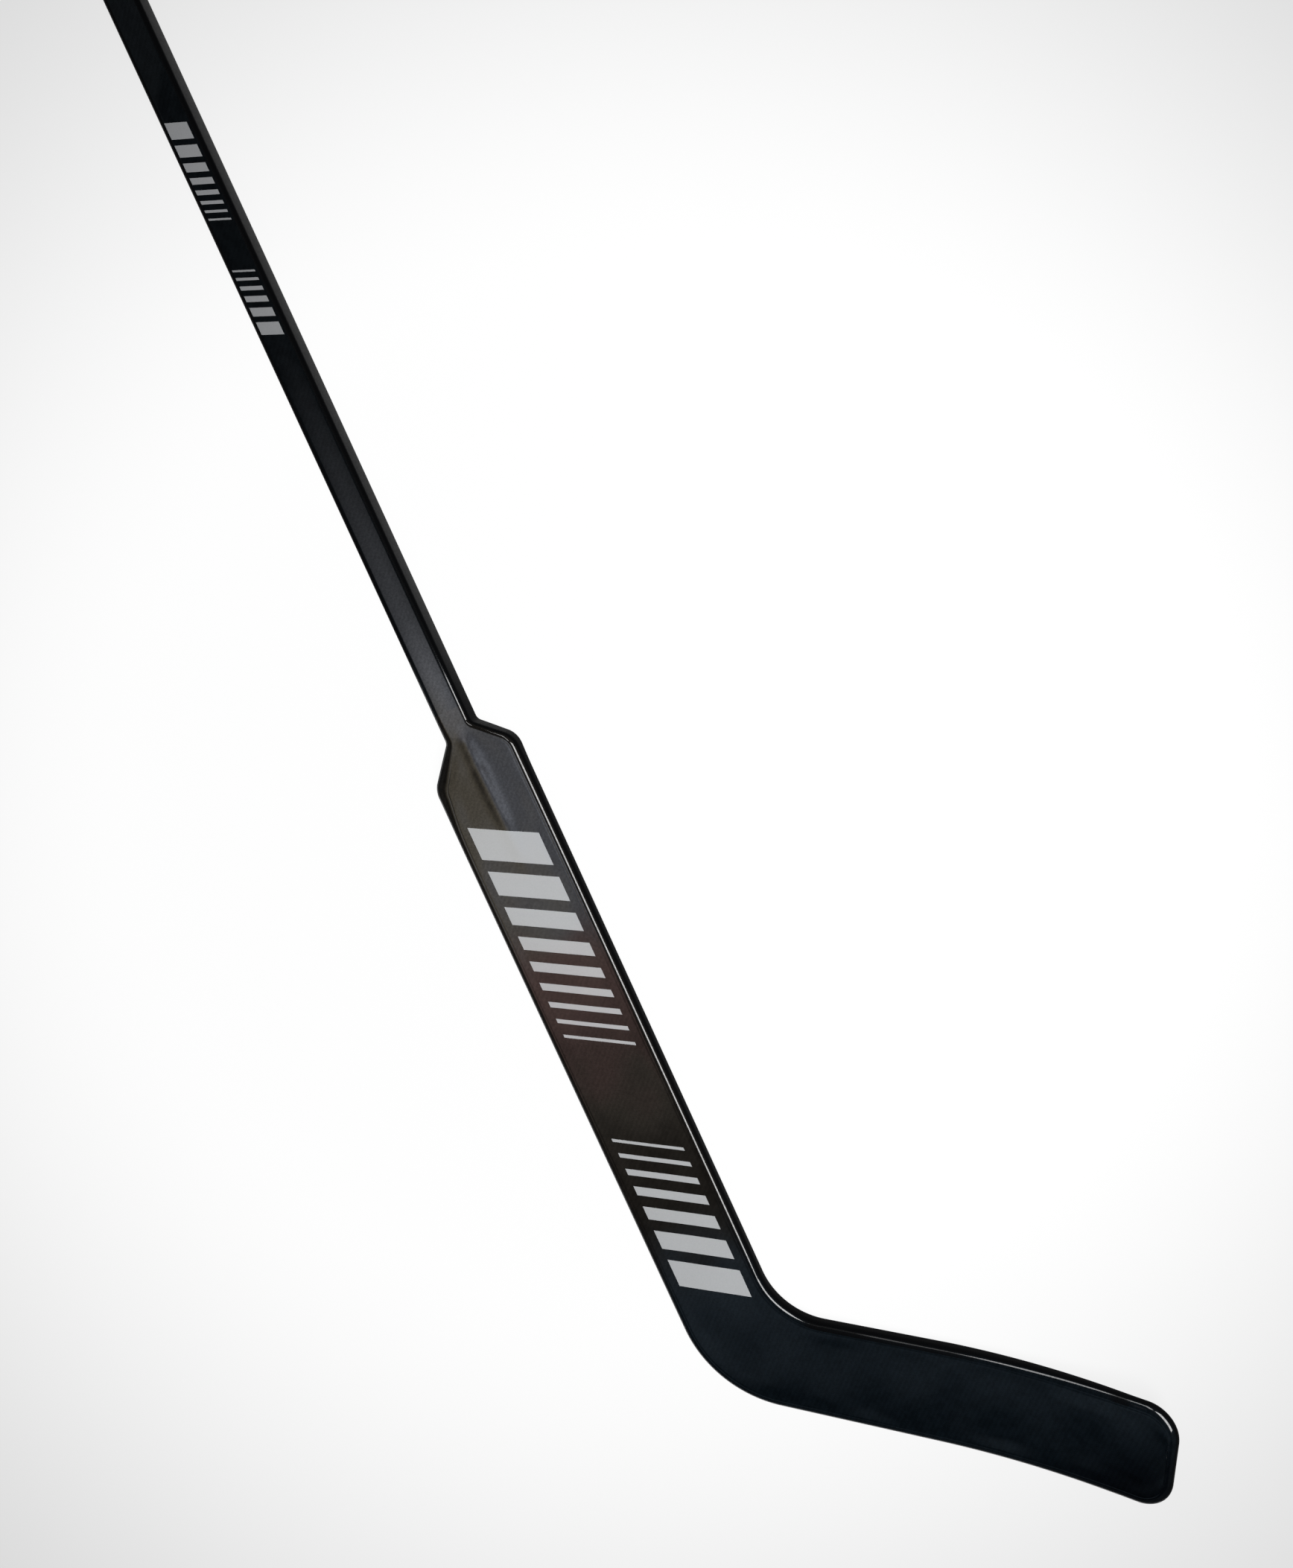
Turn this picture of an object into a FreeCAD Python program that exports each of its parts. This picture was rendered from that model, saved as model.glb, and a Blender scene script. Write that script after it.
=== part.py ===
import FreeCAD, Part
import Sketcher
import math
import os
import re
from enum import IntEnum, auto

# Hockey goalie stick, lying on its back with the front face up, in millimetres.
# +Y runs up the shaft to the butt end, +X points to the side that the blade is on, +Z is up.
# The origin is the grip point, on the back face of the shaft above the paddle's shoulders.

SIZES = {
    # Shaft: a hollow tube of rounded rectangular section
    "shaft_length": 850,          # from the shoulders to the rim of the tube
    "shaft_width": 30.5,
    "shaft_thickness": 20,
    "shaft_corner": 6.5,
    "shaft_wall": 2.2,
    "bore_corner": 4.3,
    "glue_gap": 0.1,              # between a spigot and the bore, each side
    "spigot_lead": 0.8,           # chamfer at the end of a spigot
    "grip_height": 60,            # from the shoulders up to the grip point
    # Tongue: fills the foot of the tube and runs on into the paddle, narrowing and sinking
    "spigot_length": 70,
    "neck_length": 20,            # full section above the shoulders
    "seat_length": 10,            # full section below the shoulders
    "tongue_taper": 140,
    "tongue_tip_width": 6,
    "tongue_tip_thickness": 13.5,
    # Plug in the butt end
    "plug_head": 5,
    "plug_round": 3,
    "plug_depth": 40,
    "plug_wall": 2.5,
    # Paddle
    "paddle_length": 622,         # from the shoulders to the heel's sharp corner
    "paddle_width": 89.5,
    "plate_thickness": 14.5,      # paddle and straight part of the blade
    "inner_rise": 4.5,            # the inner shoulder starts above the outer one
    "inner_drop": 25,
    "outer_fall": 4.5,
    "outer_drop": 33,
    "shoulder_round": 20,
    # Blade
    "lie_angle": 117.5,           # between the paddle's outer edge and the sole
    "blade_length": 386,          # heel's sharp corner to toe, seen from the front
    "blade_height": 88,           # at the heel's sharp corner
    "toe_height": 91,             # from curve_start to the toe
    "heel_round": 102,
    "throat_round": 62,
    "top_round": 300,             # where the top edge stops rising from the sole
    "toe_top_round": 28,
    "toe_sole_round": 25,
    "curve_start": 200,           # the blade is straight from the heel to here
    "curve_end": 335,             # and again from here to the toe
    "toe_angle": 13.5,            # by which the curve turns the toe forward
    "toe_thickness": 10.5,
    # Build of paddle and blade
    "skin": 1.5,
    "edge_width": 7,
    "edge_round": 5,
    "toe_wrap_length": 75,
    "web_thickness": 3,
    "heel_core_rise": 150,        # up the paddle from the heel's sharp corner
    "heel_core_run": 120,         # along the blade from the heel's sharp corner
    "cut_margin": 10,             # by which cutting solids pass the faces that they cut
}

doc = FreeCAD.newDocument("goalie_stick")
sheet = doc.addObject("Spreadsheet::Sheet", "dims")
for row, (alias, size) in enumerate(SIZES.items(), start=1):
    sheet.set(f"A{row}", alias)
    sheet.set(f"B{row}", str(size))
    sheet.setAlias(f"B{row}", alias)
doc.recompute()

UP = FreeCAD.Vector(0, 0, 1)
NEAR = FreeCAD.Base.Precision.approximation()


class EdgeEnd(IntEnum):
    """The two ends of a sketch edge, numbered as constraints number them."""
    START = auto()
    END = auto()


START, END = EdgeEnd

# Formulas that several pieces share
FALL = "((lie_angle - 90) * 1 deg)"
TURN = "(toe_angle * 1 deg)"
HEEL_X = "(-paddle_width / 2)"
HEEL_Y = "(-grip_height - paddle_length)"
MID_Z = "(shaft_thickness / 2)"
SHOULDER_SPAN = "((paddle_width - shaft_width) / 2)"
BORE_WIDTH = "(shaft_width - 2 * shaft_wall)"
BORE_THICKNESS = "(shaft_thickness - 2 * shaft_wall)"
SPIGOT_WIDTH = f"({BORE_WIDTH} - 2 * glue_gap)"
SPIGOT_THICKNESS = f"({BORE_THICKNESS} - 2 * glue_gap)"
REACH = "(paddle_length + blade_length)"


def tied(formula):
    """Formula in the sheet's names, written as an expression that an object can be bound to."""
    def link(word):
        return "dims." + word.group() if word.group() in SIZES else word.group()
    return re.sub(r"[a-z_]+", link, formula)


def value(formula):
    """Present value of a formula."""
    return float(sheet.evalExpression(tied(formula)))


def bind(feature, **formulas):
    """Binds properties of a feature to formulas; a double underscore in a name stands for a dot."""
    for name, formula in formulas.items():
        feature.setExpression(name.replace("__", "."), tied(formula))


def bind_place(feature, x="0", y="0", z="0"):
    bind(feature, Placement__Base__x=x, Placement__Base__y=y, Placement__Base__z=z)


def blade_point(along, above):
    """Formulas for x and y of a point so far along the sole from the heel's corner, and so far above it."""
    x = f"({HEEL_X} + ({along}) * cos({FALL}) + ({above}) * sin({FALL}))"
    y = f"({HEEL_Y} - ({along}) * sin({FALL}) + ({above}) * cos({FALL}))"
    return x, y


def dimension(sketch, formula, kind, *where):
    """Driving dimension of a sketch, bound to a formula."""
    row = sketch.addConstraint(Sketcher.Constraint(kind, *where, value(formula)))
    sketch.setExpression(f"Constraints[{row}]", tied(formula))


def relate(sketch, kind, *where):
    sketch.addConstraint(Sketcher.Constraint(kind, *where))


def body_sketch(body, name, height="0", role="XY_Plane"):
    """Sketch on one of a body's own planes, raised by a formula."""
    sketch = body.newObject("Sketcher::SketchObject", name)
    plane = next(item for item in body.Origin.OriginFeatures if item.Role == role)
    sketch.AttachmentSupport = [(plane, "")]
    sketch.MapMode = "FlatFace"
    bind(sketch, AttachmentOffset__Base__z=height)
    return sketch


def rounded_rectangle(sketch, width, height, corner):
    """Rectangle about the sketch's origin: four sides, each joined to the next by a tangent arc."""
    half_width, half_height, radius = value(width) / 2, value(height) / 2, value(corner)
    run_x, run_y = half_width - radius, half_height - radius
    first = sketch.GeometryCount
    side_ends = [(-run_x, -half_height, run_x, -half_height), (half_width, -run_y, half_width, run_y),
                 (run_x, half_height, -run_x, half_height), (-half_width, run_y, -half_width, -run_y)]
    centres = [(run_x, -run_y), (run_x, run_y), (-run_x, run_y), (-run_x, -run_y)]
    for x1, y1, x2, y2 in side_ends:
        sketch.addGeometry(Part.LineSegment(FreeCAD.Vector(x1, y1, 0), FreeCAD.Vector(x2, y2, 0)))
    for turn, (x, y) in enumerate(centres):
        circle = Part.Circle(FreeCAD.Vector(x, y, 0), UP, radius)
        sketch.addGeometry(Part.ArcOfCircle(circle, (turn - 1) * math.pi / 2, turn * math.pi / 2))
    bottom, right, top, left = range(first, first + 4)
    arcs = range(first + 4, first + 8)
    for side, arc, after in zip((bottom, right, top, left), arcs, (right, top, left, bottom)):
        relate(sketch, "Tangent", side, END, arc, START)
        relate(sketch, "Tangent", arc, END, after, START)
    for arc in arcs[1:]:
        relate(sketch, "Equal", arcs[0], arc)
    relate(sketch, "Horizontal", bottom)
    relate(sketch, "Vertical", right)
    relate(sketch, "Horizontal", top)
    relate(sketch, "Vertical", left)
    dimension(sketch, f"({width}) / 2", "DistanceX", right, START)
    dimension(sketch, f"({height}) / 2", "DistanceY", top, START)
    dimension(sketch, width, "DistanceX", left, START, right, START)
    dimension(sketch, height, "DistanceY", bottom, START, top, START)
    dimension(sketch, corner, "Radius", arcs[0])


def rounded_outline(sketch, corners):
    """Closed outline through sharp corners given anticlockwise as formulas x, y and radius.

    A corner with a radius is a tangent arc between its two sides, and its sharp point stays in the
    sketch as a construction point that carries the dimensions.
    """
    points = [FreeCAD.Vector(value(x), value(y), 0) for x, y, _ in corners]
    count = len(corners)
    base = sketch.GeometryCount
    ways = [(points[(i + 1) % count] - points[i]).normalize() for i in range(count)]
    turns = [math.atan2(ways[i - 1].cross(ways[i]).z, ways[i - 1].dot(ways[i])) for i in range(count)]
    radii = [value(radius) if radius else 0 for _, _, radius in corners]
    trims = [radii[i] * math.tan(abs(turns[i]) / 2) for i in range(count)]
    for i in range(count):
        after = (i + 1) % count
        sketch.addGeometry(Part.LineSegment(points[i] + ways[i] * trims[i],
                                            points[after] - ways[i] * trims[after]))
    for i, (x, y, radius) in enumerate(corners):
        side_in, side_out = base + (i - 1) % count, base + i
        if not radius:
            relate(sketch, "Coincident", side_in, END, side_out, START)
            dimension(sketch, x, "DistanceX", side_out, START)
            dimension(sketch, y, "DistanceY", side_out, START)
            continue
        hand = math.copysign(1, turns[i])
        inward = FreeCAD.Vector(-ways[i - 1].y, ways[i - 1].x, 0) * hand
        centre = points[i] - ways[i - 1] * trims[i] + inward * radii[i]
        begin = math.atan2(-inward.y, -inward.x)
        sweep = sorted((begin, begin + turns[i]))
        arc = sketch.addGeometry(Part.ArcOfCircle(Part.Circle(centre, UP, radii[i]), *sweep))
        arc_in, arc_out = (START, END) if hand > 0 else (END, START)
        sharp = sketch.addGeometry(Part.Point(points[i]), True)
        relate(sketch, "Tangent", side_in, END, arc, arc_in)
        relate(sketch, "Tangent", side_out, START, arc, arc_out)
        relate(sketch, "PointOnObject", sharp, START, side_in)
        relate(sketch, "PointOnObject", sharp, START, side_out)
        dimension(sketch, x, "DistanceX", sharp, START)
        dimension(sketch, y, "DistanceY", sharp, START)
        dimension(sketch, radius, "Radius", arc)


def pad(body, name, sketch, length, backwards=False):
    feature = body.newObject("PartDesign::Pad", name)
    feature.Profile = sketch
    feature.Reversed = backwards
    bind(feature, Length=length)
    return feature


def shaft_body(name, y):
    """Body whose own Z axis lies along the shaft, with its own origin at height y on the shaft's axis."""
    body = doc.addObject("PartDesign::Body", name)
    body.Placement = FreeCAD.Placement(FreeCAD.Vector(), FreeCAD.Rotation(FreeCAD.Vector(1, 0, 0), -90))
    bind_place(body, y=y, z=MID_Z)
    return body


def edges_at(shape, height):
    """Names of the edges of a shape that lie flat at one height."""
    return [f"Edge{number}" for number, edge in enumerate(shape.Edges, start=1)
            if all(vertex.Point.isEqual(FreeCAD.Vector(vertex.X, vertex.Y, height), NEAR)
                   for vertex in edge.Vertexes)]


def lead_in(body, name, spigot, height):
    """Chamfer round the end of a spigot, which lies at one height in the body."""
    doc.recompute()
    chamfer = body.newObject("PartDesign::Chamfer", name)
    chamfer.Base = (spigot, edges_at(spigot.Shape, value(height)))
    bind(chamfer, Size="spigot_lead")


def prism(name, base, below, above):
    """Solid between two distances below and above a closed flat outline."""
    solid = doc.addObject("Part::Extrusion", name)
    solid.Base = base
    solid.DirMode = "Normal"
    solid.Solid = True
    bind(solid, LengthFwd=above, LengthRev=below)
    return solid


def common(name, base, tool):
    shape = doc.addObject("Part::Common", name)
    shape.Base = base
    shape.Tool = tool
    return shape


def cut(name, base, tool):
    shape = doc.addObject("Part::Cut", name)
    shape.Base = base
    shape.Tool = tool
    return shape


# Shaft tube
shaft_tube = shaft_body("shaft_tube", "neck_length - grip_height")
tube_section = body_sketch(shaft_tube, "tube_section")
rounded_rectangle(tube_section, "shaft_width", "shaft_thickness", "shaft_corner")
rounded_rectangle(tube_section, BORE_WIDTH, BORE_THICKNESS, "bore_corner")
pad(shaft_tube, "tube_wall", tube_section, "shaft_length - neck_length")

# Tongue: spigot in the tube, full section at the shoulders, then a taper that sinks into the paddle
TIP = "(-seat_length - tongue_taper)"
shaft_tongue = shaft_body("shaft_tongue", "-grip_height")
neck_section = body_sketch(shaft_tongue, "neck_section", TIP)
rounded_rectangle(neck_section, "shaft_width", "shaft_thickness", "shaft_corner")
pad(shaft_tongue, "neck", neck_section, f"neck_length - {TIP}")
spigot_section = body_sketch(shaft_tongue, "spigot_section", "neck_length")
rounded_rectangle(spigot_section, SPIGOT_WIDTH, SPIGOT_THICKNESS, "bore_corner")
spigot = pad(shaft_tongue, "spigot", spigot_section, "spigot_length")
lead_in(shaft_tongue, "tongue_lead", spigot, "neck_length + spigot_length")


def taper(name, role, full, tip, depth):
    """Cuts both sides of the tongue on a slant, from its full size at the seat to its size at the tip."""
    sketch = body_sketch(shaft_tongue, name + "_wedges", role=role)
    clear = f"({full} / 2 + cut_margin)"
    rounded_outline(sketch, [(f"{full} / 2", "-seat_length", None), (f"{tip} / 2", TIP, None),
                             (clear, TIP, None), (clear, "-seat_length", None)])
    rounded_outline(sketch, [(f"-{full} / 2", "-seat_length", None), (f"-{clear}", "-seat_length", None),
                             (f"-{clear}", TIP, None), (f"-{tip} / 2", TIP, None)])
    wedges = shaft_tongue.newObject("PartDesign::Pocket", name)
    wedges.Profile = sketch
    wedges.Midplane = True
    bind(wedges, Length=depth)


taper("narrowing", "XZ_Plane", "shaft_width", "tongue_tip_width", "2 * shaft_thickness")
taper("sinking", "YZ_Plane", "shaft_thickness", "tongue_tip_thickness", "2 * shaft_width")

# End plug: domed head on the rim of the tube and a hollow spigot in the bore
end_plug = shaft_body("end_plug", "shaft_length - grip_height")
head_section = body_sketch(end_plug, "head_section")
rounded_rectangle(head_section, "shaft_width", "shaft_thickness", "shaft_corner")
pad(end_plug, "head", head_section, "plug_head")
plug_section = body_sketch(end_plug, "plug_section")
rounded_rectangle(plug_section, SPIGOT_WIDTH, SPIGOT_THICKNESS, "bore_corner")
plug_spigot = pad(end_plug, "plug_spigot", plug_section, "plug_depth", backwards=True)
lead_in(end_plug, "plug_lead", plug_spigot, "-plug_depth")
hollow_section = body_sketch(end_plug, "hollow_section", "-plug_depth")
rounded_rectangle(hollow_section, f"{SPIGOT_WIDTH} - 2 * plug_wall", f"{SPIGOT_THICKNESS} - 2 * plug_wall",
                  "bore_corner / 2")
hollow = end_plug.newObject("PartDesign::Pocket", "hollow")
hollow.Profile = hollow_section
hollow.Reversed = True
bind(hollow, Length="plug_depth")
doc.recompute()
dome = end_plug.newObject("PartDesign::Fillet", "dome")
dome.Base = (hollow, edges_at(hollow.Shape, value("plug_head")))
bind(dome, Radius="plug_round")
doc.recompute()

# Outline of paddle and blade, seen from the front; its top lies in the tongue's neck, its end beyond the toe
TOP_X = "(shaft_width / 4)"
FLARE = "((toe_height - blade_height) / curve_start)"
THROAT_RUN = f"((paddle_width - blade_height * sin({FALL})) / (cos({FALL}) + {FLARE} * sin({FALL})))"
THROAT_Y = blade_point(THROAT_RUN, f"blade_height + {FLARE} * {THROAT_RUN}")[1]
OVER_LENGTH = "(blade_length + cut_margin)"
outline = doc.addObject("Sketcher::SketchObject", "outline")
rounded_outline(outline, [
    (f"-{TOP_X}", f"-grip_height - outer_fall + outer_drop / {SHOULDER_SPAN} * {TOP_X}", None),
    (HEEL_X, "-grip_height - outer_fall - outer_drop", "shoulder_round"),
    (HEEL_X, HEEL_Y, "heel_round"),
    (*blade_point(OVER_LENGTH, "0"), None),
    (*blade_point(OVER_LENGTH, "toe_height"), None),
    (*blade_point("curve_start", "toe_height"), "top_round"),
    ("paddle_width / 2", THROAT_Y, "throat_round"),
    ("paddle_width / 2", "-grip_height + inner_rise - inner_drop", "shoulder_round"),
    (TOP_X, f"-grip_height + inner_rise + inner_drop / {SHOULDER_SPAN} * {TOP_X}", None),
])
inset = doc.addObject("Part::Offset2D", "inset")
inset.Source = outline
bind(inset, Value="-edge_width")

# Toe: its end stands square to the tilted face, with a rounded corner at the top and at the sole
TOE_LIFT = f"((curve_end - curve_start) * tan({TURN} / 2) + (blade_length - curve_end) * tan({TURN}))"
TOE_Z = f"({MID_Z} + {TOE_LIFT})"
TOP_Z = f"({TOE_Z} + plate_thickness)"
FULL_DEPTH = f"({TOP_Z} + plate_thickness)"


def leaning_edges(shape):
    """Numbers of the edges of a solid that lean with the toe, each with its height above the sole."""
    heel = FreeCAD.Vector(value(HEEL_X), value(HEEL_Y), 0)
    above = FreeCAD.Rotation(UP, -value(FALL)).multVec(FreeCAD.Vector(0, 1, 0))
    least = math.sin(math.radians(value(TURN) / 2))
    found = []
    for number, edge in enumerate(shape.Edges, start=1):
        way = edge.tangentAt(edge.FirstParameter)
        if least < math.hypot(way.x, way.y) < abs(way.z):
            found.append((number, (edge.CenterOfMass - heel).dot(above)))
    return found


def toe_prism(name, base, margin):
    """Upright solid over an outline, cut off by a margin inside the end of the toe and rounded there."""
    stock = prism(name + "_stock", base, "plate_thickness", TOP_Z)
    beyond = doc.addObject("Part::Box", name + "_beyond")
    beyond.Placement = FreeCAD.Placement(FreeCAD.Vector(), FreeCAD.Rotation(-value(FALL), -value(TURN), 0))
    bind(beyond, Placement__Rotation__Yaw=f"-{FALL}", Placement__Rotation__Pitch=f"-{TURN}")
    along = f"blade_length - {margin} * cos({TURN}) + {FULL_DEPTH} * sin({TURN})"
    x, y = blade_point(along, "-blade_height")
    bind_place(beyond, x, y, f"{TOE_Z} - {margin} * sin({TURN}) - {FULL_DEPTH} * cos({TURN})")
    bind(beyond, Length="blade_height", Width="3 * blade_height", Height=f"2 * {FULL_DEPTH}")
    square = cut(name + "_square", stock, beyond)
    doc.recompute()
    rounded = doc.addObject("Part::Fillet", name)
    rounded.Base = square
    top, sole = value(f"toe_top_round - {margin}"), value(f"toe_sole_round - {margin}")
    middle = value("blade_height / 2")
    radii = [(number, top if height > middle else sole) for number, height in leaning_edges(square.Shape)]
    rounded.Edges = [(number, radius, radius) for number, radius in radii]
    return rounded


outline_prism = toe_prism("outline_prism", outline, "0")
inset_prism = toe_prism("inset_prism", inset, "edge_width")

# Layers through the thickness, drawn in a plane along the sole: flat from the paddle to curve_start, an arc
# to curve_end, then straight to the toe.  Front and back arcs differ, so the toe is thinner.
MIDDLE_ARC = f"((curve_end - curve_start) / sin({TURN}))"
ARC_DIFFERENCE = f"((plate_thickness * cos({TURN}) - toe_thickness) / (1 - cos({TURN})))"
FRONT_ARC = f"({MIDDLE_ARC} + {ARC_DIFFERENCE} / 2)"
BACK_ARC = f"({MIDDLE_ARC} - {ARC_DIFFERENCE} / 2)"
BACK_FACE = ("-plate_thickness / 2", BACK_ARC)
BACK_BOND = ("-plate_thickness / 2 + skin", f"({BACK_ARC} - skin)")
FRONT_BOND = ("plate_thickness / 2 - skin", f"({FRONT_ARC} + skin)")
FRONT_FACE = ("plate_thickness / 2", FRONT_ARC)


def layer(name, lower, upper):
    """Solid between two of the surfaces, each given by its height and the radius of its arc."""
    sketch = doc.addObject("Sketcher::SketchObject", name + "_section")
    sketch.Placement = FreeCAD.Placement(FreeCAD.Vector(), FreeCAD.Rotation(value(f"-{FALL}"), 0, 90))
    bind_place(sketch, x=HEEL_X, y=HEEL_Y, z=MID_Z)
    bind(sketch, Placement__Rotation__Yaw=f"-{FALL}")
    far, start, toe = -value(REACH), value("curve_start"), value(OVER_LENGTH)
    turn = math.radians(value(TURN))
    backs, arcs, toes = [], [], []
    for height, radius in (lower, upper):
        level, bend = value(height), value(radius)
        end = FreeCAD.Vector(start + bend * math.sin(turn), level + bend * (1 - math.cos(turn)), 0)
        tip = FreeCAD.Vector(toe, end.y + (toe - end.x) * math.tan(turn), 0)
        backs.append(sketch.addGeometry(Part.LineSegment(FreeCAD.Vector(far, level, 0),
                                                         FreeCAD.Vector(start, level, 0))))
        circle = Part.Circle(FreeCAD.Vector(start, level + bend, 0), UP, bend)
        arcs.append(sketch.addGeometry(Part.ArcOfCircle(circle, -math.pi / 2, turn - math.pi / 2)))
        toes.append(sketch.addGeometry(Part.LineSegment(end, tip)))
        relate(sketch, "Tangent", backs[-1], END, arcs[-1], START)
        relate(sketch, "Tangent", arcs[-1], END, toes[-1], START)
        relate(sketch, "Horizontal", backs[-1])
        dimension(sketch, "curve_start", "DistanceX", backs[-1], END)
        dimension(sketch, height, "DistanceY", backs[-1], END)
        dimension(sketch, radius, "Radius", arcs[-1])
        dimension(sketch, f"curve_start + {radius} * sin({TURN})", "DistanceX", arcs[-1], END)
    for first, second, end in ((*backs, START), (*toes, END)):
        ends = [sketch.getPoint(first, end), sketch.getPoint(second, end)]
        side = sketch.addGeometry(Part.LineSegment(*ends))
        relate(sketch, "Coincident", side, START, first, end)
        relate(sketch, "Coincident", side, END, second, end)
        relate(sketch, "Vertical", side)
    dimension(sketch, f"-{REACH}", "DistanceX", backs[0], START)
    dimension(sketch, OVER_LENGTH, "DistanceX", toes[0], END)
    return prism(name, sketch, REACH, REACH)


whole_layer = layer("whole_layer", BACK_FACE, FRONT_FACE)
front_layer = layer("front_layer", FRONT_BOND, FRONT_FACE)
core_layer = layer("core_layer", BACK_BOND, FRONT_BOND)
back_layer = layer("back_layer", BACK_FACE, BACK_BOND)

# Skins: one laminate on each face, from the shoulders to the toe, let into the edge wraps
front_skin = cut("front_skin", common("front_sheet", inset_prism, front_layer), shaft_tongue)
back_skin = cut("back_skin", common("back_sheet", inset_prism, back_layer), shaft_tongue)


def zone(name, x, y, length, width, along_blade=False):
    """Upright box with its corner at x and y, that picks out one region of a layer."""
    box = doc.addObject("Part::Box", name)
    if along_blade:
        box.Placement = FreeCAD.Placement(FreeCAD.Vector(), FreeCAD.Rotation(UP, value(f"-{FALL}")))
        bind(box, Placement__Rotation__Angle=f"-{FALL}")
    bind_place(box, x=x, y=y, z="-plate_thickness")
    bind(box, Length=length, Width=width, Height=FULL_DEPTH)
    return box


# Cores: foam each side of a web in the paddle and in the blade, and one block in the heel
core = cut("core", common("core_sheet", inset_prism, core_layer), shaft_tongue)
HEEL_TOP = f"({HEEL_Y} + heel_core_rise)"
HALF_WEB = "(web_thickness / 2)"
inner_zone = zone("inner_zone", HALF_WEB, HEEL_TOP, "paddle_width", "paddle_length")
outer_zone = zone("outer_zone", f"-paddle_width - {HALF_WEB}", HEEL_TOP, "paddle_width", "paddle_length")
paddle_web_zone = zone("paddle_web_zone", f"-{HALF_WEB}", HEEL_TOP, "web_thickness", "paddle_length")
paddle_zone = zone("paddle_zone", "-paddle_width", HEEL_TOP, "2 * paddle_width", "paddle_length")
LOWER_WEB = f"(blade_height / 2 - {HALF_WEB})"
UPPER_WEB = f"(blade_height / 2 + {HALF_WEB})"
upper_zone = zone("upper_zone", *blade_point("heel_core_run", UPPER_WEB),
                  "blade_length", "blade_height", True)
lower_zone = zone("lower_zone", *blade_point("heel_core_run", f"{LOWER_WEB} - blade_height"),
                  "blade_length", "blade_height", True)
blade_web_zone = zone("blade_web_zone", *blade_point("heel_core_run", LOWER_WEB),
                      "blade_length", "web_thickness", True)
blade_zone = zone("blade_zone", *blade_point("heel_core_run", "-blade_height"),
                  "blade_length", "3 * blade_height", True)
paddle_core_inner = common("paddle_core_inner", core, inner_zone)
paddle_core_outer = common("paddle_core_outer", core, outer_zone)
paddle_web = common("paddle_web", core, paddle_web_zone)
blade_core_upper = common("blade_core_upper", core, upper_zone)
blade_core_lower = common("blade_core_lower", core, lower_zone)
blade_web = common("blade_web", core, blade_web_zone)
heel_core = cut("heel_core", cut("core_below_paddle", core, paddle_zone), blade_zone)

# Edge wraps: the rounded rim of paddle and blade, in three lengths
plate = common("plate", outline_prism, whole_layer)
doc.recompute()


def rim_edges(shape):
    """Numbers of the edges where a face of the plate meets its wall, but for the top, inside the tongue."""
    top = value(f"-grip_height + neck_length - {TOP_X}")
    numbers = []
    for number, edge in enumerate(shape.Edges, start=1):
        normals = [face.normalAt(*face.Surface.parameter(face.CenterOfMass))
                   for face in shape.ancestorsOfType(edge, Part.Face)]
        steep = [abs(normal.z) < math.hypot(normal.x, normal.y) for normal in normals]
        if any(steep) and not all(steep) and edge.CenterOfMass.y < top:
            numbers.append(number)
    return numbers


rounded_plate = doc.addObject("Part::Fillet", "rounded_plate")
rounded_plate.Base = plate
rim_radius = value("edge_round")
rounded_plate.Edges = [(number, rim_radius, rim_radius) for number in rim_edges(plate.Shape)]
rim = cut("rim", cut("rim_ring", rounded_plate, inset_prism), shaft_tongue)
toe_zone = zone("toe_zone", *blade_point("blade_length - toe_wrap_length", "-blade_height"),
                "2 * toe_wrap_length", "3 * blade_height", True)
toe_edge_wrap = common("toe_edge_wrap", rim, toe_zone)
long_rim = cut("long_rim", rim, toe_zone)
MIDDLE_RUN = f"((paddle_width - blade_height * sin({FALL})) / (2 * cos({FALL})))"
FAR_X, FAR_Y = blade_point("blade_length + blade_height", "blade_height / 2")
inner_side = doc.addObject("Sketcher::SketchObject", "inner_side")
rounded_outline(inner_side, [
    ("0", "neck_length", None),
    ("0", blade_point(MIDDLE_RUN, "blade_height / 2")[1], None),
    (FAR_X, FAR_Y, None),
    (FAR_X, "neck_length", None),
])
inner_prism = prism("inner_prism", inner_side, "plate_thickness", TOP_Z)
inner_edge_wrap = common("inner_edge_wrap", long_rim, inner_prism)
outer_edge_wrap = cut("outer_edge_wrap", long_rim, inner_prism)

pieces = [shaft_tube, shaft_tongue, end_plug, front_skin, back_skin, paddle_core_inner, paddle_core_outer,
          paddle_web, heel_core, blade_core_upper, blade_core_lower, blade_web, inner_edge_wrap,
          outer_edge_wrap, toe_edge_wrap]
doc.recompute()
for item in doc.Objects:
    if {"Invalid", "Error"} & set(item.State):
        raise RuntimeError(f"{item.Name} failed: {item.State}")
os.makedirs("parts", exist_ok=True)
for piece in pieces:
    shape = piece.Shape
    if shape.isNull() or not shape.isValid() or len(shape.Solids) != 1:
        raise RuntimeError(f"{piece.Label} is not one valid solid")
    print(f"{piece.Label}: {shape.Volume / 1000:.1f} cm3")
for piece in pieces:
    piece.Shape.exportStep(f"parts/{piece.Label}.step")
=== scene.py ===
"""Looks of the hockey goalie stick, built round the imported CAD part.

Everything is in the part's own frame: +Y runs up the shaft, +X points to the side that the blade is on,
and +Z is up, out of the front face. Lengths of the shapes are millimetres, turned into metres as a mesh is
made. Those of materials, floor, light and camera are metres.
"""
import math

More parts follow.
